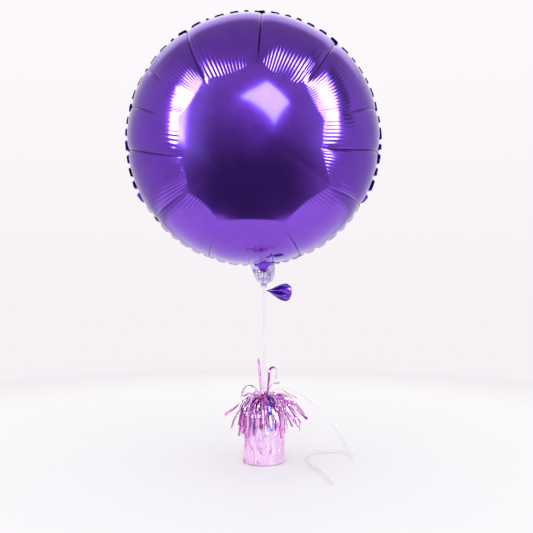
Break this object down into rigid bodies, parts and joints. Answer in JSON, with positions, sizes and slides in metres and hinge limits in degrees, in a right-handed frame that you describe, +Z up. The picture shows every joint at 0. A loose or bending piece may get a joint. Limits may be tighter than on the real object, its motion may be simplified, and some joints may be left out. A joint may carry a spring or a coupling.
{
  "type": "foil balloon with weight",
  "caption": "Round foil balloon with a scalloped seam, tied by a ribbon round its filling neck to a foil-wrapped weight with a tinsel top; it sways, turns and tilts on the ribbon.",
  "frame": {"origin": "middle of the weight's flat base, on the surface it stands on", "axes": "+Z up along the taut ribbon; the balloon's two discs face -Y and +Y; +X is to the right as it is seen from the front"},
  "size_m": [0.3545, 0.2204, 0.62],
  "materials": {
    "purple_foil": "polished",
    "clear_valve_film": "gloss",
    "white_ribbon": "satin",
    "pink_foil_wrap": "polished",
    "pink_tinsel": "polished",
    "cup_plastic": "satin",
    "plaster": "matte",
    "card": "matte"
  },
  "bodies": {
    "weight": {"weight_cup": "cup_plastic", "plaster_fill": "plaster", "card_lid": "card", "foil_wrap": "pink_foil_wrap", "gather_tie": "pink_foil_wrap", "ribbon_free_end": "white_ribbon", "tinsel_strip_01": "pink_tinsel", "tinsel_strip_02": "pink_tinsel", "tinsel_strip_03": "pink_tinsel", "tinsel_strip_04": "pink_tinsel", "tinsel_strip_05": "pink_tinsel", "tinsel_strip_06": "pink_tinsel", "tinsel_strip_07": "pink_tinsel", "tinsel_strip_08": "pink_tinsel", "tinsel_strip_09": "pink_tinsel", "tinsel_strip_10": "pink_tinsel", "tinsel_strip_11": "pink_tinsel", "tinsel_strip_12": "pink_tinsel", "tinsel_strip_13": "pink_tinsel", "tinsel_strip_14": "pink_tinsel", "tinsel_strip_15": "pink_tinsel", "tinsel_strip_16": "pink_tinsel", "tinsel_strip_17": "pink_tinsel", "tinsel_strip_18": "pink_tinsel", "tinsel_strip_19": "pink_tinsel", "tinsel_strip_20": "pink_tinsel", "tinsel_strip_21": "pink_tinsel", "tinsel_strip_22": "pink_tinsel", "tinsel_strip_23": "pink_tinsel", "tinsel_strip_24": "pink_tinsel", "tinsel_strip_25": "pink_tinsel", "tinsel_strip_26": "pink_tinsel", "tinsel_strip_27": "pink_tinsel", "tinsel_strip_28": "pink_tinsel", "tinsel_strip_29": "pink_tinsel", "tinsel_strip_30": "pink_tinsel", "tinsel_strip_31": "pink_tinsel", "tinsel_strip_32": "pink_tinsel", "tinsel_strip_33": "pink_tinsel", "tinsel_strip_34": "pink_tinsel", "tinsel_strip_35": "pink_tinsel"},
    "weight_knot": {"weight_knot": "white_ribbon"},
    "tether": {"tether_ribbon": "white_ribbon"},
    "lower_neck_knot": {"lower_neck_knot": "white_ribbon"},
    "upper_neck_knot": {"upper_neck_knot": "white_ribbon"},
    "balloon": {"front_film_panel": "purple_foil", "back_film_panel": "purple_foil", "front_neck_film": "purple_foil", "back_neck_film": "purple_foil", "front_valve_film": "clear_valve_film", "back_valve_film": "clear_valve_film", "neck_ribbon_turns": "white_ribbon"},
    "tail": {"front_tail_film": "purple_foil", "back_tail_film": "purple_foil"}
  },
  "joints": [
    {"name": "ribbon_sway_fore_aft", "type": "hinge", "parent": "weight", "child": "weight_knot", "pos_m": [0, 0, 0.0957], "axis": [1, 0, 0], "range_deg": [-35, 35], "stiffness_Nm_per_rad": 0.3},
    {"name": "ribbon_sway_sideways", "type": "hinge", "parent": "weight_knot", "child": "tether", "pos_m": [0, 0, 0.0957], "axis": [0, 1, 0], "range_deg": [-35, 35], "stiffness_Nm_per_rad": 0.3, "springref_deg": 0.74},
    {"name": "balloon_turn", "type": "hinge", "parent": "tether", "child": "lower_neck_knot", "pos_m": [0, 0, 0.236], "axis": [0, 0, 1], "continuous": true},
    {"name": "balloon_nod", "type": "hinge", "parent": "lower_neck_knot", "child": "upper_neck_knot", "pos_m": [0, 0, 0.236], "axis": [1, 0, 0], "range_deg": [-30, 30], "stiffness_Nm_per_rad": 0.15},
    {"name": "balloon_tilt", "type": "hinge", "parent": "upper_neck_knot", "child": "balloon", "pos_m": [0, 0, 0.236], "axis": [0, 1, 0], "range_deg": [-30, 30], "stiffness_Nm_per_rad": 0.15, "springref_deg": 1.48},
    {"name": "tail_flap", "type": "hinge", "parent": "balloon", "child": "tail", "pos_m": [0.0028, 0, 0.2372], "axis": [0, -1, 0], "range_deg": [-35, 15], "stiffness_Nm_per_rad": 0.0005, "springref_deg": 2.29}
  ]
}
